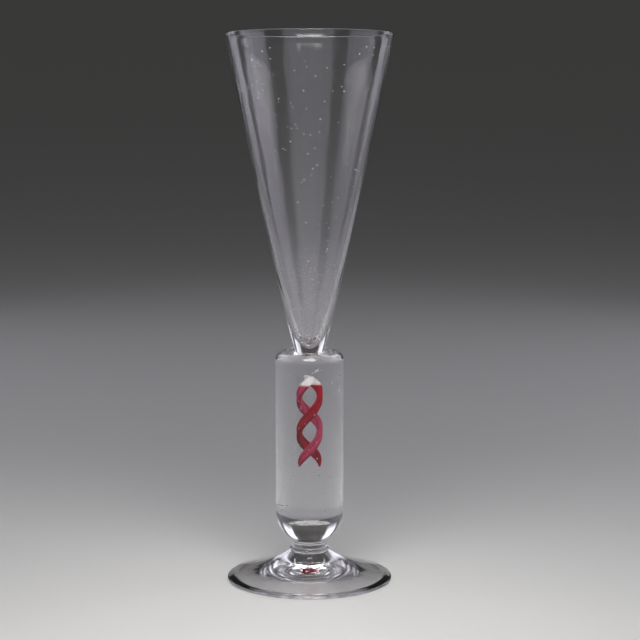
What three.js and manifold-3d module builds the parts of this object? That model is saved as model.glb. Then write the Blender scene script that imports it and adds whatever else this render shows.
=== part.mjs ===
// A champagne glass: a conical bowl on a solid cased stem with a two-colour twist inside,
// a collar and a disc foot.
// The clear pieces are gathers of glass that are welded hot, so nothing on it moves.
// Millimetres, +Z up. The origin is the middle of the ring that the foot rests on.
import * as THREE from "three";
import { mergeVertices } from "three/addons/utils/BufferGeometryUtils.js";
import Module from "manifold-3d";

// Heights of the four welded lengths, from the table up
const footHeight = 14;
const collarHeight = 5.4;
const stemLength = 93;
const bowlHeight = 152.6;

// Foot: a shallow trumpet, hollow below, that stands on a flat ring
const footRadius = 40;
const footEdgeThickness = 1.4;
const footRingWidth = 4;
const footTopRadius = 9.2;
const footHollowHeight = 5.2;
const footHollowFlatRadius = 4;
const footSweepOut = 11;
const footSweepUp = 5.4;

// Collar: a neck that flares down to a rounded lip
const neckRadius = 8;
const collarLipReach = 0.5;
const collarLipThickness = 1.2;
const collarNick = 0.3;

// Stem casing: the outer gather of clear glass
const stemRadius = 16.4;
const shoulderRadius = 4.2;

// Twist: two canes laid on the core in a double helix, and a sliver of foil above them
const twistBottomGap = 37;
const twistTopGap = 11;
const twistTurns = 1.3;
const caneOrbit = 3.2;
const caneHalfWidth = 2.1;
const caneHalfThickness = 0.95;
const caneTailShare = 0.4;
const caneTailLength = 9;
const tipLength = 5;
const foilGap = 0.6;
const foilWidth = 1.3;
const foilThickness = 0.35;
const foilSpan = THREE.MathUtils.degToRad(60);
const foilSlant = THREE.MathUtils.degToRad(30);
const foilFacing = THREE.MathUtils.degToRad(-55);

// Stem core: the inner gather, a rod whose grooves hold the twist
const coreBelowTwist = 4;
const coreSkin = 0.1;
const fitClearance = 0.3;

// Bowl: thin at the rim, thick at the base
const bowlBaseRadius = 7.1;
const bowlSwellRadius = 14;
const bowlSwellHeight = 24.3;
const rimRadius = 40;
const rimThickness = 0.9;
const bowlFloorThickness = 2.7;
const hollowTipRadius = 5.9;
const hollowTipHeight = 8.6;
const hollowTipLift = 0.6;
const hollowSwellRadius = 17;
const hollowSwellHeight = 42.6;

// Fineness of the round shapes
const roundSides = 48;
const curveSteps = 5;
const caneSteps = 30;
const caneSides = 10;
const foilSteps = 8;
const weldTolerance = 1e-4;

// Levels and radii that follow from the sizes above
const collarBottom = footHeight;
const stemBottom = collarBottom + collarHeight;
const stemTop = stemBottom + stemLength;
const rimTop = stemTop + bowlHeight;
const stemBallHeight = stemBottom + Math.sqrt(stemRadius ** 2 - neckRadius ** 2);
const caneFlatReach = caneOrbit + caneHalfThickness;
const caneEdgeReach = Math.hypot(caneOrbit + caneHalfThickness / 2, caneHalfWidth);
const coreRadius = Math.max(caneFlatReach, caneEdgeReach) + coreSkin;
const boreRadius = coreRadius + fitClearance;
const twistBottom = stemBottom + twistBottomGap;
const twistTop = stemTop - twistTopGap;
const twistLength = twistTop - twistBottom;
const tipBottom = twistTop - tipLength;
const boreBottom = twistBottom - coreBelowTwist;

const clearGlass = new THREE.MeshStandardMaterial({
  color: 0xf2f6f5,
  roughness: 0.02,
  metalness: 0,
  transparent: true,
  opacity: 0.35,
});
const rubyGlass = new THREE.MeshStandardMaterial({ color: 0x6a0b18, roughness: 0.2, metalness: 0 });
const crimsonGlass = new THREE.MeshStandardMaterial({ color: 0x9c2340, roughness: 0.2, metalness: 0 });
const enamelGlass = new THREE.MeshStandardMaterial({ color: 0xf3ecec, roughness: 0.3, metalness: 0 });
const silverFoil = new THREE.MeshStandardMaterial({ color: 0xc9cbc8, roughness: 0.25, metalness: 1 });

const wasm = await Module();
wasm.setup();

// A closed mesh as a solid that can be cut.
function solidOf(geometry) {
  const bare = geometry.clone();
  bare.deleteAttribute("normal");
  bare.deleteAttribute("uv");
  const merged = mergeVertices(bare, weldTolerance);
  return new wasm.Manifold(
    new wasm.Mesh({
      numProp: 3,
      vertProperties: merged.attributes.position.array,
      triVerts: new Uint32Array(merged.index.array),
    }),
  );
}

// A cut solid as geometry again.
function geometryOf(solid) {
  const mesh = solid.getMesh();
  const geometry = new THREE.BufferGeometry();
  geometry.setAttribute("position", new THREE.BufferAttribute(mesh.vertProperties, mesh.numProp));
  geometry.setIndex(new THREE.BufferAttribute(mesh.triVerts, 1));
  geometry.computeVertexNormals();
  return geometry;
}

// An outline of radius and height turned about the Z axis.
function turned(outline) {
  const geometry = new THREE.LatheGeometry(outline.getPoints(curveSteps), roundSides);
  return geometry.rotateX(Math.PI / 2);
}

// A closed skin over rings of points, capped at both ends. pointAt(i, j) is point j of ring i.
function skinned(ringCount, sideCount, pointAt) {
  const positions = [];
  const faces = [];
  for (let i = 0; i < ringCount; i++) {
    for (let j = 0; j < sideCount; j++) {
      positions.push(...pointAt(i, j));
    }
  }
  for (let i = 0; i + 1 < ringCount; i++) {
    for (let j = 0; j < sideCount; j++) {
      const here = i * sideCount + j;
      const next = i * sideCount + ((j + 1) % sideCount);
      faces.push(here, next, next + sideCount, here, next + sideCount, here + sideCount);
    }
  }
  const last = (ringCount - 1) * sideCount;
  for (let j = 1; j + 1 < sideCount; j++) {
    faces.push(0, j + 1, j, last, last + j, last + j + 1);
  }
  const geometry = new THREE.BufferGeometry();
  geometry.setAttribute("position", new THREE.Float32BufferAttribute(positions, 3));
  geometry.setIndex(faces);
  geometry.computeVertexNormals();
  return geometry;
}

// The share of its full section that a cane has at a height: a tail that narrows to the lower end,
// and a tip that closes to a blunt point at the upper end.
function caneShare(height) {
  const fromBottom = Math.min((height - twistBottom) / caneTailLength, 1);
  const tail = caneTailShare + (1 - caneTailShare) * Math.sin((fromBottom * Math.PI) / 2);
  const intoTip = Math.max((height - tipBottom) / tipLength, 0);
  return tail * Math.sqrt(1 - (1 - caneTailShare ** 2) * intoTip ** 2);
}

// A sweep that winds round the Z axis as it climbs, as the canes do. For a share of the full section and a turn
// about the cane's middle, sectionAt gives a distance outward from there and one along the core's skin.
function wound(startAngle, low, high, steps, sectionAt) {
  return skinned(steps + 1, caneSides, (i, j) => {
    const height = low + ((high - low) * i) / steps;
    const angle = startAngle + (twistTurns * 2 * Math.PI * (height - twistBottom)) / twistLength;
    const share = caneShare(THREE.MathUtils.clamp(height, twistBottom, twistTop));
    const [outward, along] = sectionAt(share, (2 * Math.PI * j) / caneSides);
    const reach = caneOrbit + outward;
    return [
      reach * Math.cos(angle) - along * Math.sin(angle),
      reach * Math.sin(angle) + along * Math.cos(angle),
      height,
    ];
  });
}

// A length of cane: an oval section that lies flat to the core.
function cane(startAngle, low, high, steps) {
  return wound(startAngle, low, high, steps, (share, turn) => [
    caneHalfThickness * share * Math.cos(turn),
    caneHalfWidth * share * Math.sin(turn),
  ]);
}

// The groove for a whole cane: oval towards the axis, and open through the core's skin.
function groove(startAngle) {
  const opening = coreRadius - caneOrbit + fitClearance;
  const low = twistBottom - fitClearance;
  const high = twistTop + fitClearance;
  return wound(startAngle, low, high, caneSteps, (share, turn) => {
    const facing = Math.cos(turn);
    const inward = (caneHalfThickness * share + fitClearance) * facing;
    return [
      facing > weldTolerance ? opening : inward,
      (caneHalfWidth * share + fitClearance) * Math.sin(turn),
    ];
  });
}

// The foil sliver: a strip bent to the core's curve, climbing as it goes round.
function foil(grow = 0) {
  const climb = coreRadius * Math.tan(foilSlant);
  const middle = twistTop + foilGap + foilWidth / 2 + (climb * foilSpan) / 2;
  const halfSpan = foilSpan / 2 + grow / coreRadius;
  const outer = coreRadius - coreSkin;
  return skinned(foilSteps + 1, 4, (i, j) => {
    const turn = halfSpan * ((2 * i) / foilSteps - 1);
    const radius = j < 2 ? outer - foilThickness - grow : outer + grow;
    const side = (foilWidth / 2 + grow) * (j === 1 || j === 2 ? 1 : -1);
    return [
      radius * Math.cos(foilFacing + turn),
      radius * Math.sin(foilFacing + turn),
      middle + climb * turn + side,
    ];
  });
}

// Foot outline: out along the roof of the hollow, round the resting ring and the edge, and up the top sweep.
function footOutline() {
  const edge = footEdgeThickness / 2;
  const ringOuter = footRadius - edge;
  const ringInner = ringOuter - footRingWidth;
  const outline = new THREE.Path();
  outline.moveTo(0, footHollowHeight);
  outline.lineTo(footHollowFlatRadius, footHollowHeight);
  outline.quadraticCurveTo(ringInner / 2, footHollowHeight, ringInner, 0);
  outline.lineTo(ringOuter, 0);
  outline.absarc(ringOuter, edge, edge, -Math.PI / 2, Math.PI / 2, false);
  outline.quadraticCurveTo(footTopRadius + footSweepOut, footSweepUp + edge, footTopRadius, footHeight);
  outline.lineTo(0, footHeight);
  return outline;
}

// Collar outline: a nick above the foot, a rounded lip, then a hollow flare up to the neck.
function collarOutline() {
  const lip = collarLipThickness / 2;
  const lipMiddle = footTopRadius + collarLipReach - lip;
  const lipHeight = collarBottom + collarNick + lip;
  const outline = new THREE.Path();
  outline.moveTo(0, collarBottom);
  outline.lineTo(footTopRadius - collarNick, collarBottom);
  outline.absarc(lipMiddle, lipHeight, lip, -Math.PI / 2, Math.PI / 2, false);
  outline.quadraticCurveTo(neckRadius, lipHeight + lip, neckRadius, stemBottom);
  outline.lineTo(0, stemBottom);
  return outline;
}

// Casing outline: a round bottom above the neck, the straight wall, the shoulder, and the core's bore.
function casingOutline() {
  const neckAngle = Math.asin((stemBottom - stemBallHeight) / stemRadius);
  const shoulderLevel = stemTop - shoulderRadius;
  const outline = new THREE.Path();
  outline.moveTo(0, stemBottom);
  outline.lineTo(neckRadius, stemBottom);
  outline.absarc(0, stemBallHeight, stemRadius, neckAngle, 0, false);
  outline.lineTo(stemRadius, shoulderLevel);
  outline.absarc(stemRadius - shoulderRadius, shoulderLevel, shoulderRadius, 0, Math.PI / 2, false);
  outline.lineTo(boreRadius, stemTop);
  outline.lineTo(boreRadius, boreBottom);
  outline.lineTo(0, boreBottom);
  return outline;
}

// Core outline: a plain rod from the bottom of the bore to the top of the stem.
function coreOutline() {
  const outline = new THREE.Path();
  outline.moveTo(0, boreBottom);
  outline.lineTo(coreRadius, boreBottom);
  outline.lineTo(coreRadius, stemTop);
  outline.lineTo(0, stemTop);
  return outline;
}

// Bowl outline: the swelling cone outside, the round rim, the cone inside and its rounded tip.
function bowlOutline() {
  const lip = rimThickness / 2;
  const rimLevel = rimTop - lip;
  const hollowBottom = stemTop + bowlFloorThickness;
  const hollowShoulder = hollowBottom + hollowTipHeight;
  const hollowSwell = stemTop + hollowSwellHeight;
  const lean = (hollowSwellRadius - hollowTipRadius) / (hollowSwell - hollowShoulder);
  const tipReach = hollowTipRadius - lean * (hollowTipHeight - hollowTipLift);
  const outline = new THREE.Path();
  outline.moveTo(0, stemTop);
  outline.lineTo(bowlBaseRadius, stemTop);
  outline.quadraticCurveTo(bowlSwellRadius, stemTop + bowlSwellHeight, rimRadius, rimLevel);
  outline.absarc(rimRadius - lip, rimLevel, lip, 0, Math.PI, false);
  outline.quadraticCurveTo(hollowSwellRadius, hollowSwell, hollowTipRadius, hollowShoulder);
  outline.quadraticCurveTo(tipReach, hollowBottom + hollowTipLift, 0, hollowBottom);
  return outline;
}

const glass = new THREE.Group();
function place(name, geometry, material) {
  const mesh = new THREE.Mesh(geometry, material);
  mesh.name = name;
  glass.add(mesh);
}

place("foot", turned(footOutline()), clearGlass);
place("collar", turned(collarOutline()), clearGlass);
place("stem_casing", turned(casingOutline()), clearGlass);
place("bowl", turned(bowlOutline()), clearGlass);

const canes = [
  { name: "ruby", material: rubyGlass, startAngle: 0 },
  { name: "crimson", material: crimsonGlass, startAngle: Math.PI },
];
const tipSteps = Math.ceil(caneSteps * (tipLength / twistLength)) + 2;
let core = solidOf(turned(coreOutline()));
for (const { name, material, startAngle } of canes) {
  place(name + "_ribbon", cane(startAngle, twistBottom, tipBottom, caneSteps), material);
  place(name + "_tip", cane(startAngle, tipBottom, twistTop, tipSteps), enamelGlass);
  core = core.subtract(solidOf(groove(startAngle)));
}
core = core.subtract(solidOf(foil(fitClearance)));
place("silver_leaf", foil(), silverFoil);
place("stem_core", geometryOf(core), clearGlass);

export default glass;
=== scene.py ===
"""The looks of a champagne glass: clear blown glass with a two-colour twist sealed in its stem.

It stands on a plain floor in soft studio light, seen by the photo's camera. Every length is in metres, in
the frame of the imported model: +Z up, the origin under the middle of the foot.
"""
import math

import bpy
import numpy as np
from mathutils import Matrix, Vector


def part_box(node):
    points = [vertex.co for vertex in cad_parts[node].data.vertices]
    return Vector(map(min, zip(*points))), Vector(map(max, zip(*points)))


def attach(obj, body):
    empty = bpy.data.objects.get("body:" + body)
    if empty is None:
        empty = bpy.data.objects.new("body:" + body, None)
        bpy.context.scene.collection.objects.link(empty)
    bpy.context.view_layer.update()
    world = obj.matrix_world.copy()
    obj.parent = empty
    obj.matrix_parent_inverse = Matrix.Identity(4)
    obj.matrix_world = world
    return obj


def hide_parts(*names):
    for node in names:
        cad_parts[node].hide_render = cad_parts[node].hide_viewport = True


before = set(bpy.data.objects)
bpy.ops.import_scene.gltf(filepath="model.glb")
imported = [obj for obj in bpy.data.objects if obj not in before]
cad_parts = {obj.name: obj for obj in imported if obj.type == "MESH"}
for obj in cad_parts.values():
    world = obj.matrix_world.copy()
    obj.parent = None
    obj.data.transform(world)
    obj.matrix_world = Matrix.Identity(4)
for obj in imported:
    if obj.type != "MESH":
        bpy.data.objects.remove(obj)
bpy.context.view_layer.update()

MM = 0.001

# Levels and radii that the frame gives
FOOT_RADIUS, FOOT_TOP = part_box("foot")[1].x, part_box("foot")[1].z
STEM_BOTTOM, STEM_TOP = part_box("stem_casing")[0].z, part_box("stem_casing")[1].z
STEM_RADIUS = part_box("stem_casing")[1].x
CORE_BOTTOM, CORE_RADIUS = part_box("stem_core")[0].z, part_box("stem_core")[1].x
RIM_RADIUS, RIM_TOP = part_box("bowl")[1].x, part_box("bowl")[1].z
TWIST_BOTTOM, TIP_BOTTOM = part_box("ruby_ribbon")[0].z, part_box("ruby_tip")[0].z
TWIST_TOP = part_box("ruby_tip")[1].z
FOIL_LEVEL = (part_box("silver_leaf")[0].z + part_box("silver_leaf")[1].z) / 2

# Foot: a shallow trumpet, hollow below, that stands on a flat ring
FOOT_EDGE = 1.4 * MM
FOOT_RING = 4 * MM
FOOT_TOP_RADIUS = 9.2 * MM
FOOT_HOLLOW = 5.2 * MM
FOOT_HOLLOW_FLAT = 4 * MM
FOOT_SWEEP_OUT = 11 * MM
FOOT_SWEEP_UP = 5.4 * MM

# Collar: a neck that flares down to a rounded lip
NECK_RADIUS = 8 * MM
LIP_REACH = 0.5 * MM
LIP_THICKNESS = 1.2 * MM
LIP_NICK = 0.3 * MM

# Stem: its shoulder and the bore that the core fills
SHOULDER = 4.2 * MM
CORE_CLEARANCE = 0.3 * MM
BORE_RADIUS = CORE_RADIUS + CORE_CLEARANCE

# Twist: two canes of drawn threads and a sliver of foil
TWIST_TURNS = 1.3
CANE_ORBIT = 3.2 * MM
CANE_HALF_WIDTH = 2.1 * MM
CANE_HALF_THICKNESS = 0.95 * MM
CANE_TAIL = 9 * MM
CANE_STEPS = 220
CANE_END_STEPS = 40
CANE_THREADS = 5
THREAD_GROOVE = 0.3
FOIL_WIDTH = 1.3 * MM
FOIL_DEPTH = 0.35 * MM
FOIL_SKIN = 0.1 * MM
FOIL_HALF_SPAN = math.radians(30)
FOIL_SLANT = math.radians(30)
FOIL_FACING = math.radians(-55)

# Bowl: thin at the rim, thick at the base
BOWL_BASE = 7.1 * MM
BOWL_SWELL = 14 * MM
BOWL_SWELL_UP = 24.3 * MM
RIM_THICKNESS = 0.9 * MM
BOWL_FLOOR = 2.7 * MM
HOLLOW_TIP = 5.9 * MM
HOLLOW_TIP_UP = 8.6 * MM
HOLLOW_TIP_LIFT = 0.6 * MM
HOLLOW_SWELL = 17 * MM
HOLLOW_SWELL_UP = 42.6 * MM

# Frit: white grains in the stem, all over the bowl's inner wall and close together round its tip, where
# their crowd is partly real speckle and partly a painted highlight
STEM_GRAIN_SEED = 11
STEM_GRAINS = 130
STEM_GRAIN_RADII = (0.16 * MM, 0.3 * MM)
STEM_GRAIN_MARGIN = 1 * MM
STEM_GRAINS_FROM_BOTTOM = 14 * MM
STEM_GRAINS_FROM_TOP = 5 * MM
BOWL_GRAIN_SEED = 23
BOWL_GRAINS = 260
BOWL_GRAIN_RADII = (0.2 * MM, 0.32 * MM)
BOWL_GRAINS_FROM_RIM = 4 * MM
# Round the tip the grains are partly real speckle and partly a painted highlight that whitens the tip
TIP_SPECKLE_AND_HIGHLIGHT_GRAINS = 1500
TIP_GRAIN_RADII = (0.14 * MM, 0.24 * MM)
TIP_GRAIN_REACH = 45 * MM
TIP_GRAIN_CROWDING = 2.5
SUNK_GRAIN_REACH = 13 * MM
SUNK_GRAIN_DEPTH = 1.1

# Finishes: how a surface bends light, and the sizes of its patterns, drawn out along Z by a small stretch
GLASS_IOR = 1.51
SEALED_IOR = 1.1
BLOWN_WAVINESS = 0.15
GATHERED_WAVINESS = 0.04
WAVE_WIDTH = 8 * MM
WAVE_HEIGHT = 1 * MM
WAVE_STRETCH = 0.12
STRIA_WIDTH = 3 * MM
STRIA_SHARE = 0.3
STRIA_STRETCH = 0.02
STREAK_WIDTH = 0.7 * MM
STREAK_STRETCH = 0.25
THREAD_SHARE = 0.5
CREASE_WIDTH = 0.8 * MM
CREASE_DEPTH = 0.4 * MM
GRAIN_PATCH = 3 * MM

# Camera: the photo's frame and the glass's axis in pixels, and where the camera stands
PHOTO_PIXELS = 640
FOCAL_PIXELS = 2441
AXIS_PIXEL = 309.5
SENSOR_WIDTH = 36
CAMERA_BACK = 1.157
CAMERA_UP = 0.3208
CAMERA_DIP = math.radians(9.485)

# Panels: lit cloth on a ring about the glass, each with two azimuths in degrees and its strength at both
PANELS = (
    ("left_panel", (-120, -58), (1.4, 0.8)),
    ("front_panel", (-44, 46), (1.0, 1.0)),
    ("right_panel", (64, 122), (1.0, 2.6)),
    ("back_left_panel", (-157, -132), (1.6, 2.2)),
    ("back_right_panel", (133, 157), (2.2, 1.6)),
)
PANEL_COLOUR = "#f4f2ff"
PANEL_RING = 0.9
PANEL_LOW = 0.12
PANEL_HIGH = 1.0
PANEL_COLUMNS = 61
PANEL_ROWS = 25
PANEL_SIDE_FADE = 0.15
PANEL_END_FADE = 0.3
FOLD_SHADE = 0.35
FOLD_WIDE = math.radians(2.3)
FOLD_NARROW = math.radians(1.3)

# Lamp: a small panel above and in front of the glass
LAMP_COLOUR = "#fffefb"
LAMP_STRENGTH = 12.0
LAMP_FORWARD = 0.18
LAMP_LEVEL = 0.38
LAMP_HALF = 0.12
LAMP_FADE = 0.2
LAMP_COLUMNS = 17

# Floor and sky: a gap keeps the floor clear of the foot's ring
FLOOR_HALF = 10
FLOOR_GAP = 0.05 * MM
SKY_STRENGTH = 0.3

# Meshes: points round a turned piece, the bend that makes an edge, and the material slots of clear glass
ROUND_SIDES = 192
EDGE_BEND = math.radians(22)
CLEAR, WELD = 0, 1


def linear(code):
    """An sRGB hex colour as linear RGBA."""
    srgb = np.array([int(code[i:i + 2], 16) for i in (1, 3, 5)]) / 255
    low, high = srgb / 12.92, ((srgb + 0.055) / 1.055) ** 2.4
    return (*np.where(srgb <= 0.04045, low, high), 1.0)


def add(tree, kind, inputs=None, **settings):
    """Adds one node: settings are its own options, and each input is a value or another node's output."""
    made = tree.nodes.new("ShaderNode" + kind)
    for key, value in settings.items():
        setattr(made, key, value)
    for socket, value in (inputs or {}).items():
        if isinstance(value, bpy.types.NodeSocket):
            tree.links.new(value, made.inputs[socket])
        else:
            made.inputs[socket].default_value = value
    return made


def new_material(name):
    """A material with an empty node tree, and that tree."""
    material = bpy.data.materials.new(name)
    material.use_nodes = True
    material.node_tree.nodes.clear()
    return material, material.node_tree


def clear_glass(name, waviness):
    """Soda-lime glass, fire-polished: colourless and sharp, with faint waves and striae drawn out along it.

    A blown wall is wavier than a solid gather, and its reflections wander more.
    """
    material, tree = new_material(name)
    place = add(tree, "TexCoord").outputs["Object"]
    drawn = add(tree, "Mapping", {"Vector": place, "Scale": (1, 1, WAVE_STRETCH)})
    waves = add(tree, "TexNoise", {"Vector": drawn.outputs[0], "Scale": 1 / WAVE_WIDTH, "Detail": 1.0})
    pulled = add(tree, "Mapping", {"Vector": place, "Scale": (1, 1, STRIA_STRETCH)})
    striae = add(tree, "TexNoise", {"Vector": pulled.outputs[0], "Scale": 1 / STRIA_WIDTH, "Detail": 0.0})
    both = {0: striae.outputs[0], 1: STRIA_SHARE, 2: waves.outputs[0]}
    relief = add(tree, "Math", both, operation="MULTIPLY_ADD")
    bump = add(tree, "Bump", {"Height": relief.outputs[0], "Strength": waviness, "Distance": WAVE_HEIGHT})
    glass = add(tree, "BsdfPrincipled", {
        "Base Color": linear("#fcfbfd"),
        "Roughness": 0.0,
        "IOR": GLASS_IOR,
        "Transmission Weight": 1.0,
        "Normal": bump.outputs[0],
    })
    add(tree, "OutputMaterial", {"Surface": glass.outputs[0]})
    return material


def hot_weld():
    """Where two gathers of hot glass have run together: glass meets glass, and the eye sees nothing."""
    material, tree = new_material("hot_weld")
    through = add(tree, "BsdfTransparent", {"Color": (1, 1, 1, 1)})
    add(tree, "OutputMaterial", {"Surface": through.outputs[0]})
    return material


def cane_glass(name, dark, light):
    """Drawn colour cane: threads of slightly different depth of colour, streaked along their length.

    It lies in clear glass of nearly its own density, so its surface gives hardly any gloss. Its streaks are
    as fine as still show at the photo's distance.
    """
    material, tree = new_material(name)
    across = add(tree, "Attribute", attribute_name="across")
    passed = add(tree, "Math", {0: across.outputs["Fac"], 1: CANE_THREADS}, operation="MULTIPLY")
    thread = add(tree, "Math", {0: passed.outputs[0]}, operation="FLOOR")
    depth = add(tree, "TexWhiteNoise", {"W": thread.outputs[0]}, noise_dimensions="1D")
    place = add(tree, "TexCoord").outputs["Object"]
    drawn = add(tree, "Mapping", {"Vector": place, "Scale": (1, 1, STREAK_STRETCH)})
    streaks = add(tree, "TexNoise", {"Vector": drawn.outputs[0], "Scale": 1 / STREAK_WIDTH, "Detail": 3.0})
    both = {0: depth.outputs["Value"], 1: THREAD_SHARE, 2: streaks.outputs[0]}
    tone = add(tree, "Math", both, operation="MULTIPLY_ADD")
    shade = add(tree, "ValToRGB", {"Fac": tone.outputs[0]})
    shade.color_ramp.elements[0].position = 0.4
    shade.color_ramp.elements[0].color = linear(dark)
    shade.color_ramp.elements[1].position = 1.0
    shade.color_ramp.elements[1].color = linear(light)
    body = add(tree, "BsdfPrincipled", {
        "Base Color": shade.outputs[0],
        "Roughness": 0.35,
        "IOR": SEALED_IOR,
    })
    add(tree, "OutputMaterial", {"Surface": body.outputs[0]})
    return material


def enamel_glass():
    """Opaque white glass: milky, a little pink where it runs into the red cane."""
    material, tree = new_material("white_enamel_glass")
    rise = add(tree, "Attribute", attribute_name="rise")
    shade = add(tree, "ValToRGB", {"Fac": rise.outputs["Fac"]})
    shade.color_ramp.elements[0].position = 0.0
    shade.color_ramp.elements[0].color = linear("#e0a0aa")
    shade.color_ramp.elements[1].position = 0.2
    shade.color_ramp.elements[1].color = linear("#fdfbfa")
    body = add(tree, "BsdfPrincipled", {
        "Base Color": shade.outputs[0],
        "Roughness": 0.4,
        "IOR": SEALED_IOR,
    })
    add(tree, "OutputMaterial", {"Surface": body.outputs[0]})
    return material


def silver_foil():
    """Beaten silver leaf, partly metallic: its near-white body is a painted glint, and its creases are
    darkened with painted shade.

    Its creases are as fine as still show at the photo's distance.
    """
    material, tree = new_material("silver_leaf_painted_glint_crease_shade")
    place = add(tree, "TexCoord").outputs["Object"]
    cells = add(tree, "TexVoronoi", {"Vector": place, "Scale": 1 / CREASE_WIDTH})
    height = cells.outputs["Distance"]
    bump = add(tree, "Bump", {"Height": height, "Strength": 1.0, "Distance": CREASE_DEPTH})
    # Painted glint and painted shade: white over most of each cell, turning dark grey towards its border,
    # where the creases lie
    shade = add(tree, "ValToRGB", {"Fac": height})
    shade.color_ramp.elements[0].position = 0.5
    shade.color_ramp.elements[0].color = linear("#ffffff")
    shade.color_ramp.elements[1].position = 0.75
    shade.color_ramp.elements[1].color = linear("#4c4f53")
    body = add(tree, "BsdfPrincipled", {
        "Base Color": shade.outputs[0],
        "Metallic": 0.35,
        "Roughness": 0.3,
        "Normal": bump.outputs[0],
    })
    add(tree, "OutputMaterial", {"Surface": body.outputs[0]})
    return material


def white_frit():
    """Grains of powdered white glass caught in the clear.

    Each scatters all the light that falls on it, so it reads as a white point.
    """
    material, tree = new_material("white_glass_frit")
    place = add(tree, "TexCoord").outputs["Object"]
    patches = add(tree, "TexNoise", {"Vector": place, "Scale": 1 / GRAIN_PATCH, "Detail": 0.0})
    shade = add(tree, "ValToRGB", {"Fac": patches.outputs[0]})
    shade.color_ramp.elements[0].color = linear("#d9dadc")
    shade.color_ramp.elements[1].color = linear("#ffffff")
    body = add(tree, "BsdfPrincipled", {
        "Base Color": shade.outputs[0],
        "Roughness": 0.5,
        "IOR": GLASS_IOR,
    })
    add(tree, "OutputMaterial", {"Surface": body.outputs[0]})
    return material


def floor_paint():
    """Matte paint on the studio floor: pale, with no gloss at all."""
    material, tree = new_material("matte_floor_paint")
    body = add(tree, "BsdfPrincipled", {
        "Base Color": linear("#cfcfcd"),
        "Roughness": 0.8,
        "Specular IOR Level": 0.0,
    })
    add(tree, "OutputMaterial", {"Surface": body.outputs[0]})
    return material


def panel_cloth(colour, strength):
    """White diffusing cloth lit from behind: it glows towards the glass, by the share its points carry.

    Where it doesn't glow, and from its other side, it can't be seen.
    """
    material, tree = new_material("lit_diffuser_cloth")
    share = add(tree, "Attribute", attribute_name="glow")
    side = add(tree, "NewGeometry")
    facing = add(tree, "Math", {0: 1.0, 1: side.outputs["Backfacing"]}, operation="SUBTRACT")
    lit = add(tree, "Math", {0: share.outputs["Fac"], 1: facing.outputs[0]}, operation="MULTIPLY")
    nothing = add(tree, "BsdfTransparent")
    glow = add(tree, "Emission", {"Color": linear(colour), "Strength": strength})
    cloth = add(tree, "MixShader", {0: lit.outputs[0], 1: nothing.outputs[0], 2: glow.outputs[0]})
    add(tree, "OutputMaterial", {"Surface": cloth.outputs[0]})
    return material


def straight(start, end, count=2):
    """Points on the line from start to end."""
    return np.linspace(start, end, count)


def bent(start, pull, end, count):
    """Points on the parabola from start to end whose two end tangents meet at pull."""
    t = np.linspace(0, 1, count)[:, None]
    return (1 - t) ** 2 * np.array(start) + 2 * t * (1 - t) * np.array(pull) + t ** 2 * np.array(end)


def rounded(centre, radius, start, end, count):
    """Points on the arc of a radius about a centre, from one angle in degrees to another."""
    turn = np.radians(np.linspace(start, end, count))
    return np.array(centre) + radius * np.stack([np.cos(turn), np.sin(turn)], axis=1)


def link(name, data):
    """An object at the origin that holds a mesh or a camera."""
    made = bpy.data.objects.new(name, data)
    bpy.context.scene.collection.objects.link(made)
    return made


def skin_faces(count, sides):
    """The faces of a skin over count rings of sides points, with a fan to one point at each end."""
    side = np.arange(sides)
    after = (side + 1) % sides
    start = 1 + sides * np.arange(count - 1)[:, None]
    bands = np.stack([start + side, start + after, start + sides + after, start + sides + side], axis=2)
    top = 1 + sides * (count - 1)
    first_fan = np.stack([np.zeros(sides, int), 1 + after, 1 + side], axis=1)
    last_fan = np.stack([top + side, top + after, np.full(sides, 1 + sides * count)], axis=1)
    return first_fan, bands.reshape(-1, 4), last_fan


def closed_skin(name, rings, ends, finish=None):
    """A closed smooth mesh over rings of points, an array (ring, side, xyz), and one point at each end.

    finish holds a material slot for each band from the first end to the last.
    """
    count, sides = rings.shape[:2]
    vertices = np.concatenate([[ends[0]], rings.reshape(-1, 3), [ends[1]]])
    faces = [face for part in skin_faces(count, sides) for face in part.tolist()]
    mesh = bpy.data.meshes.new(name)
    mesh.from_pydata(vertices.tolist(), [], faces)
    if finish is not None:
        mesh.polygons.foreach_set("material_index", np.repeat(finish, sides).astype(np.int32))
    mesh.shade_smooth()
    mesh.set_sharp_from_angle(angle=EDGE_BEND)
    mesh.update()
    return link(name, mesh)


def mark(piece, name, values):
    """Keeps one number for each point of a closed skin, an array (ring, side), for its material to read."""
    flat = np.concatenate([values[:1].mean(axis=1), values.ravel(), values[-1:].mean(axis=1)])
    piece.data.attributes.new(name, "FLOAT", "POINT").data.foreach_set("value", flat.astype(np.float32))


def turned(name, *stretches):
    """A solid of revolution: stretches of an outline turned about Z.

    A stretch is its points of radius and height, and a material slot.
    """
    outline = np.concatenate([stretches[0][0]] + [points[1:] for points, slot in stretches[1:]])
    finish = np.concatenate([np.full(len(points) - 1, slot) for points, slot in stretches])
    turn = 2 * np.pi * np.arange(ROUND_SIDES) / ROUND_SIDES
    around = np.stack([np.cos(turn), np.sin(turn), np.ones(ROUND_SIDES)], axis=1)
    rings = outline[1:-1, None, [0, 0, 1]] * around
    return closed_skin(name, rings, [(0, 0, outline[0, 1]), (0, 0, outline[-1, 1])], finish)


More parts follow.
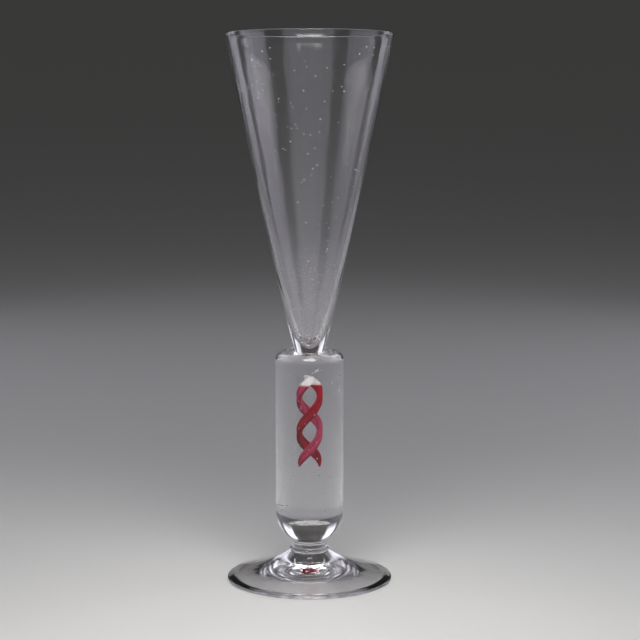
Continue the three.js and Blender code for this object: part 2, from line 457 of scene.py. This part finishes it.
def foot():
    """The outline of the hollow, the resting ring, the rounded edge and the top sweep, turned about Z."""
    edge = FOOT_EDGE / 2
    ring_outer = FOOT_RADIUS - edge
    ring_inner = ring_outer - FOOT_RING
    sweep = (FOOT_TOP_RADIUS + FOOT_SWEEP_OUT, FOOT_SWEEP_UP + edge)
    return turned(
        "foot_glass",
        (straight((0, FOOT_HOLLOW), (FOOT_HOLLOW_FLAT, FOOT_HOLLOW), 4), CLEAR),
        (bent((FOOT_HOLLOW_FLAT, FOOT_HOLLOW), (ring_inner / 2, FOOT_HOLLOW), (ring_inner, 0), 40), CLEAR),
        (straight((ring_inner, 0), (ring_outer, 0), 4), CLEAR),
        (rounded((ring_outer, edge), edge, -90, 90, 16), CLEAR),
        (bent((ring_outer, 2 * edge), sweep, (FOOT_TOP_RADIUS, FOOT_TOP), 50), CLEAR),
        (straight((FOOT_TOP_RADIUS, FOOT_TOP), (0, FOOT_TOP), 3), WELD),
    )


def collar():
    """The outline of the nick, the rounded lip and the hollow flare, turned about Z."""
    lip = LIP_THICKNESS / 2
    lip_middle = FOOT_TOP_RADIUS + LIP_REACH - lip
    lip_level = FOOT_TOP + LIP_NICK + lip
    nick = FOOT_TOP_RADIUS - LIP_NICK
    flare = (NECK_RADIUS, lip_level + lip)
    return turned(
        "collar_glass",
        (straight((0, FOOT_TOP), (nick, FOOT_TOP), 3), WELD),
        (straight((nick, FOOT_TOP), (lip_middle, lip_level - lip)), CLEAR),
        (rounded((lip_middle, lip_level), lip, -90, 90, 16), CLEAR),
        (bent((lip_middle, lip_level + lip), flare, (NECK_RADIUS, STEM_BOTTOM), 16), CLEAR),
        (straight((NECK_RADIUS, STEM_BOTTOM), (0, STEM_BOTTOM), 3), WELD),
    )


def stem_casing():
    """The outline of the round bottom, the straight wall, the shoulder and the bore, turned about Z."""
    ball_level = STEM_BOTTOM + math.sqrt(STEM_RADIUS ** 2 - NECK_RADIUS ** 2)
    neck_angle = math.degrees(math.asin((STEM_BOTTOM - ball_level) / STEM_RADIUS))
    shoulder_level = STEM_TOP - SHOULDER
    inner = STEM_RADIUS - SHOULDER
    return turned(
        "stem_casing_glass",
        (straight((0, STEM_BOTTOM), (NECK_RADIUS, STEM_BOTTOM), 3), WELD),
        (rounded((0, ball_level), STEM_RADIUS, neck_angle, 0, 48), CLEAR),
        (straight((STEM_RADIUS, ball_level), (STEM_RADIUS, shoulder_level), 60), CLEAR),
        (rounded((inner, shoulder_level), SHOULDER, 0, 90, 24), CLEAR),
        (straight((inner, STEM_TOP), (BOWL_BASE, STEM_TOP), 4), CLEAR),
        (straight((BOWL_BASE, STEM_TOP), (BORE_RADIUS, STEM_TOP), 3), WELD),
        (straight((BORE_RADIUS, STEM_TOP), (BORE_RADIUS, CORE_BOTTOM), 3), WELD),
        (straight((BORE_RADIUS, CORE_BOTTOM), (0, CORE_BOTTOM), 3), WELD),
    )


def stem_core():
    """A plain rod: a rectangle of the core's radius and length turned about Z."""
    return turned(
        "stem_core_glass",
        (straight((0, CORE_BOTTOM), (CORE_RADIUS, CORE_BOTTOM), 3), WELD),
        (straight((CORE_RADIUS, CORE_BOTTOM), (CORE_RADIUS, STEM_TOP), 3), WELD),
        (straight((CORE_RADIUS, STEM_TOP), (0, STEM_TOP), 3), WELD),
    )


def bowl_walls():
    """The bowl's outlines of radius and height: the outside upwards, and the inside down to its tip."""
    rim_level = RIM_TOP - RIM_THICKNESS / 2
    hollow_bottom = STEM_TOP + BOWL_FLOOR
    hollow_shoulder = hollow_bottom + HOLLOW_TIP_UP
    hollow_swell = STEM_TOP + HOLLOW_SWELL_UP
    lean = (HOLLOW_SWELL - HOLLOW_TIP) / (hollow_swell - hollow_shoulder)
    tip_reach = HOLLOW_TIP - lean * (HOLLOW_TIP_UP - HOLLOW_TIP_LIFT)
    swell = (BOWL_SWELL, STEM_TOP + BOWL_SWELL_UP)
    outside = bent((BOWL_BASE, STEM_TOP), swell, (RIM_RADIUS, rim_level), 90)
    rim, shoulder = (RIM_RADIUS - RIM_THICKNESS, rim_level), (HOLLOW_TIP, hollow_shoulder)
    wall = bent(rim, (HOLLOW_SWELL, hollow_swell), shoulder, 90)
    tip = bent(shoulder, (tip_reach, hollow_bottom + HOLLOW_TIP_LIFT), (0, hollow_bottom), 40)
    return outside, np.concatenate([wall, tip[1:]])


def bowl():
    """The outline of the swelling cone, the round rim, and the inner cone and its tip, turned about Z."""
    outside, inside = bowl_walls()
    lip = RIM_THICKNESS / 2
    return turned(
        "bowl_glass",
        (straight((0, STEM_TOP), (BOWL_BASE, STEM_TOP), 3), WELD),
        (outside, CLEAR),
        (rounded((RIM_RADIUS - lip, RIM_TOP - lip), lip, 0, 180, 16), CLEAR),
        (inside, CLEAR),
    )


def cane(name, start_angle, low, high, steps, sides=80):
    """A cane wound round the axis: a flat bundle of threads on an orbit that turns as it climbs.

    The section is an oval whose two faces are scalloped once for each thread. It narrows as a quarter
    ellipse towards the lower end of the whole cane, and again towards its upper end. Its points carry how
    far across the cane and how far up the piece they lie, for the materials.
    """
    level = np.linspace(low, high, steps)
    turn = start_angle + 2 * np.pi * TWIST_TURNS * (level - TWIST_BOTTOM) / (TWIST_TOP - TWIST_BOTTOM)
    tail = np.clip((level - TWIST_BOTTOM) / CANE_TAIL, 0, 1)
    tip = np.clip((level - TIP_BOTTOM) / (TWIST_TOP - TIP_BOTTOM), 0, 1)
    share = np.sqrt((1 - (1 - tail) ** 2) * (1 - tip ** 2))
    around = 2 * np.pi * np.arange(sides) / sides
    across = (np.sin(around) + 1) / 2
    scallop = 1 - THREAD_GROOVE * (0.5 + 0.5 * np.cos(2 * np.pi * CANE_THREADS * across)) ** 3
    outward = CANE_ORBIT + CANE_HALF_THICKNESS * np.outer(share, np.cos(around) * scallop)
    along = CANE_HALF_WIDTH * np.outer(share, np.sin(around))
    x = outward * np.cos(turn)[:, None] - along * np.sin(turn)[:, None]
    y = outward * np.sin(turn)[:, None] + along * np.cos(turn)[:, None]
    rings = np.stack([x, y, np.repeat(level[:, None], sides, axis=1)], axis=2)
    piece = closed_skin(name, rings, rings[[0, -1]].mean(axis=1))
    mark(piece, "across", np.repeat(across[None], steps, axis=0))
    mark(piece, "rise", np.repeat((level[:, None] - low) / (high - low), sides, axis=1))
    return piece


def silver_leaf(steps=90, sides=32):
    """A creased strip bent to the core's curve: it climbs as it goes round.

    The section is a thin oval, and its torn edges wander by up to a seventh of its width. Three creases run
    along it, and shallow waves cross it.
    """
    run = np.linspace(-1, 1, steps)[:, None]
    around = 2 * np.pi * np.arange(sides)[None] / sides
    across = np.cos(around)
    torn = 0.86 + 0.08 * np.sin(5 * run + across) + 0.06 * np.sin(13 * run - 2 * across)
    point = np.sqrt(np.clip(1 - np.abs(run) ** 4, 0, 1))
    side = FOIL_WIDTH / 2 * across * torn * point
    crease = 0.16 * np.cos(3 * np.pi * across) + 0.1 * np.sin(9 * run + 3 * across)
    middle = CORE_RADIUS - FOIL_SKIN - FOIL_DEPTH / 2
    radius = middle + FOIL_DEPTH * point * (0.16 * np.sin(around) + crease)
    turn = FOIL_FACING + FOIL_HALF_SPAN * run
    level = FOIL_LEVEL + CORE_RADIUS * math.tan(FOIL_SLANT) * FOIL_HALF_SPAN * run + side
    rings = np.stack([radius * np.cos(turn), radius * np.sin(turn), level], axis=2)
    return closed_skin("silver_sliver", rings, rings[[0, -1]].mean(axis=1))


def beads(name, places, radii, sides=6, rows=3):
    """One small closed ball of rows rings, copied to each place at its own radius."""
    tilt = np.pi * (np.arange(rows) + 1) / (rows + 1)
    around = 2 * np.pi * np.arange(sides) / sides
    x = np.outer(np.sin(tilt), np.cos(around))
    y = np.outer(np.sin(tilt), np.sin(around))
    z = np.outer(-np.cos(tilt), np.ones(sides))
    ball = np.concatenate([[(0, 0, -1)], np.stack([x, y, z], axis=2).reshape(-1, 3), [(0, 0, 1)]])
    vertices = (places[:, None] + radii[:, None, None] * ball).reshape(-1, 3)
    offset = len(ball) * np.arange(len(places))[:, None, None]
    parts = [(part + offset).reshape(-1, part.shape[1]) for part in skin_faces(rows, sides)]
    mesh = bpy.data.meshes.new(name)
    mesh.from_pydata(vertices.tolist(), [], [face for part in parts for face in part.tolist()])
    mesh.shade_smooth()
    return link(name, mesh)


def stem_frit():
    """White grains scattered through the casing, between the core and the wall."""
    random = np.random.default_rng(STEM_GRAIN_SEED)
    inner, outer = BORE_RADIUS + STEM_GRAIN_MARGIN, STEM_RADIUS - STEM_GRAIN_MARGIN
    lowest, highest = STEM_BOTTOM + STEM_GRAINS_FROM_BOTTOM, STEM_TOP - STEM_GRAINS_FROM_TOP
    turn = random.uniform(0, 2 * np.pi, STEM_GRAINS)
    reach = random.uniform(inner, outer, STEM_GRAINS)
    level = random.uniform(lowest, highest, STEM_GRAINS)
    places = np.stack([reach * np.cos(turn), reach * np.sin(turn), level], axis=1)
    return beads("stem_frit", places, random.uniform(*STEM_GRAIN_RADII, STEM_GRAINS))


def bowl_frit():
    """White grains on the bowl's inner wall: a few all the way up, many round the tip, where their white
    crowd is partly real speckle and partly a painted highlight.

    A grain lies at a distance along the inner outline from its tip, and about one radius off it. Round the
    tip it is sunk into the glass, and further up it lies on the wall.
    """
    random = np.random.default_rng(BOWL_GRAIN_SEED)
    outline = bowl_walls()[1][::-1]
    step = np.diff(outline, axis=0, prepend=outline[:1])
    run = np.cumsum(np.hypot(*step.T))
    slope = np.gradient(outline, run, axis=0)
    scattered = random.uniform(0, run[-1] - BOWL_GRAINS_FROM_RIM, BOWL_GRAINS)
    # Painted highlight, in part: the crowd of white grains round the tip whitens it, besides the real
    # speckle there
    tip_speckle_and_highlight = TIP_GRAIN_REACH * random.uniform(0, 1, TIP_SPECKLE_AND_HIGHLIGHT_GRAINS) ** TIP_GRAIN_CROWDING
    at = np.concatenate([scattered, tip_speckle_and_highlight])
    coarse = random.uniform(*BOWL_GRAIN_RADII, BOWL_GRAINS)
    fine = random.uniform(*TIP_GRAIN_RADII, TIP_SPECKLE_AND_HIGHLIGHT_GRAINS)
    radii = np.concatenate([coarse, fine])
    lift = radii * np.where(at < SUNK_GRAIN_REACH, -SUNK_GRAIN_DEPTH, 1)
    reach = np.interp(at, run, outline[:, 0]) - lift * np.interp(at, run, slope[:, 1])
    level = np.interp(at, run, outline[:, 1]) + lift * np.interp(at, run, slope[:, 0])
    turn = random.uniform(0, 2 * np.pi, BOWL_GRAINS + TIP_SPECKLE_AND_HIGHLIGHT_GRAINS)
    return beads("bowl_frit", np.stack([reach * np.cos(turn), reach * np.sin(turn), level], axis=1), radii)


def dress(piece, materials, node=None):
    """Gives a piece its materials and its body, and puts it in the place of a CAD node."""
    for material in materials:
        piece.data.materials.append(material)
    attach(piece, "root")
    if node:
        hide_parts(node)


def studio_floor():
    """A flat square, a hair below the foot."""
    span = (-FLOOR_HALF, FLOOR_HALF)
    corners = np.stack(np.meshgrid(span, span, (-FLOOR_GAP,), indexing="ij"), axis=3).reshape(-1, 3)
    mesh = bpy.data.meshes.new("floor")
    mesh.from_pydata(corners.tolist(), [], [(0, 2, 3, 1)])
    mesh.materials.append(floor_paint())
    link("floor", mesh)


def soft_edge(count, share):
    """Rises from nothing to one over a share of the way in from each end, along count points."""
    run = np.linspace(0, 1, count)
    near = np.clip(np.minimum(run, 1 - run) / share, 0, 1)
    return near * near * (3 - 2 * near)


def panel(name, grid, glow, cloth):
    """A light panel over a grid of points, an array (column, row, xyz), with the share of its glow at each.

    It lights the glass and shows in it, and the camera doesn't see it.
    """
    columns, rows = glow.shape
    at = rows * np.arange(columns - 1)[:, None] + np.arange(rows - 1)
    faces = np.stack([at, at + 1, at + rows + 1, at + rows], axis=2).reshape(-1, 4)
    mesh = bpy.data.meshes.new(name)
    mesh.from_pydata(grid.reshape(-1, 3).tolist(), [], faces.tolist())
    mesh.attributes.new("glow", "FLOAT", "POINT").data.foreach_set("value", glow.ravel().astype(np.float32))
    mesh.materials.append(cloth)
    made = link(name, mesh)
    made.visible_camera = False


def wall_panel(name, azimuths, strengths):
    """A panel on the ring about the glass, between two azimuths in degrees from the camera's side.

    Its strength changes evenly from the first azimuth to the second, and folds of the cloth run up it.
    """
    turn = np.radians(np.linspace(*azimuths, PANEL_COLUMNS))
    level = np.linspace(PANEL_LOW, PANEL_HIGH, PANEL_ROWS)
    x, y = PANEL_RING * np.sin(turn)[:, None], -PANEL_RING * np.cos(turn)[:, None]
    grid = np.stack(np.broadcast_arrays(x, y, level[None]), axis=2)
    # Two waves of different widths make the folds uneven
    waves = np.sin(turn / FOLD_WIDE) + np.sin(turn / FOLD_NARROW)
    folds = 1 - FOLD_SHADE * (2 + waves) / 4
    strength = np.linspace(*strengths, PANEL_COLUMNS)
    along = strength / strength.max() * folds * soft_edge(PANEL_COLUMNS, PANEL_SIDE_FADE)
    glow = np.outer(along, soft_edge(PANEL_ROWS, PANEL_END_FADE))
    panel(name, grid, glow, panel_cloth(PANEL_COLOUR, strength.max()))


def top_lamp():
    """A flat square panel above and in front of the glass that shines down."""
    across = np.linspace(-LAMP_HALF, LAMP_HALF, LAMP_COLUMNS)
    grid = np.stack(np.broadcast_arrays(across[:, None], across[None] - LAMP_FORWARD, LAMP_LEVEL), axis=2)
    fade = soft_edge(LAMP_COLUMNS, LAMP_FADE)
    panel("top_lamp", grid, np.outer(fade, fade), panel_cloth(LAMP_COLOUR, LAMP_STRENGTH))


# The photo's camera
camera_data = bpy.data.cameras.new("camera")
camera_data.sensor_width = SENSOR_WIDTH
camera_data.lens = SENSOR_WIDTH * FOCAL_PIXELS / PHOTO_PIXELS
camera_data.shift_x = (PHOTO_PIXELS / 2 - AXIS_PIXEL) / PHOTO_PIXELS
camera = link("camera", camera_data)
camera.location = (0, -CAMERA_BACK, CAMERA_UP)
camera.rotation_euler = (math.pi / 2 - CAMERA_DIP, 0, 0)
bpy.context.scene.camera = camera

# Clear glass
weld = hot_weld()
blown = clear_glass("clear_blown_glass", BLOWN_WAVINESS)
gathered = clear_glass("clear_gathered_glass", GATHERED_WAVINESS)
dress(foot(), (gathered, weld), "foot")
dress(collar(), (gathered, weld), "collar")
dress(stem_casing(), (gathered, weld), "stem_casing")
dress(stem_core(), (gathered, weld), "stem_core")
dress(bowl(), (blown, weld), "bowl")

# Twist and grains
enamel = enamel_glass()
canes = (
    ("ruby", cane_glass("ruby_cane_glass", "#7c0816", "#b4172c"), 0),
    ("crimson", cane_glass("crimson_cane_glass", "#9a2042", "#d05474"), math.pi),
)
for colour, glass, angle in canes:
    wound = cane(colour + "_cane", angle, TWIST_BOTTOM, TIP_BOTTOM, CANE_STEPS)
    dress(wound, (glass,), colour + "_ribbon")
    end = cane(colour + "_cane_end", angle, TIP_BOTTOM, TWIST_TOP, CANE_END_STEPS)
    dress(end, (enamel,), colour + "_tip")
dress(silver_leaf(), (silver_foil(),), "silver_leaf")
frit = white_frit()
dress(stem_frit(), (frit,))
dress(bowl_frit(), (frit,))

# Floor and light
studio_floor()
for name, azimuths, strengths in PANELS:
    wall_panel(name, azimuths, strengths)
top_lamp()

world = bpy.data.worlds.new("studio")
world.use_nodes = True
world.node_tree.nodes.clear()
sky = add(world.node_tree, "Background", {"Color": linear("#808080"), "Strength": SKY_STRENGTH})
add(world.node_tree, "OutputWorld", {"Surface": sky.outputs[0]})
bpy.context.scene.world = world

# Enough bounces for light to cross every wall of the glass
cycles = bpy.context.scene.cycles
cycles.max_bounces = 24
cycles.transmission_bounces = 24
cycles.glossy_bounces = 12
cycles.transparent_max_bounces = 32
bpy.context.scene.view_settings.view_transform = "Standard"
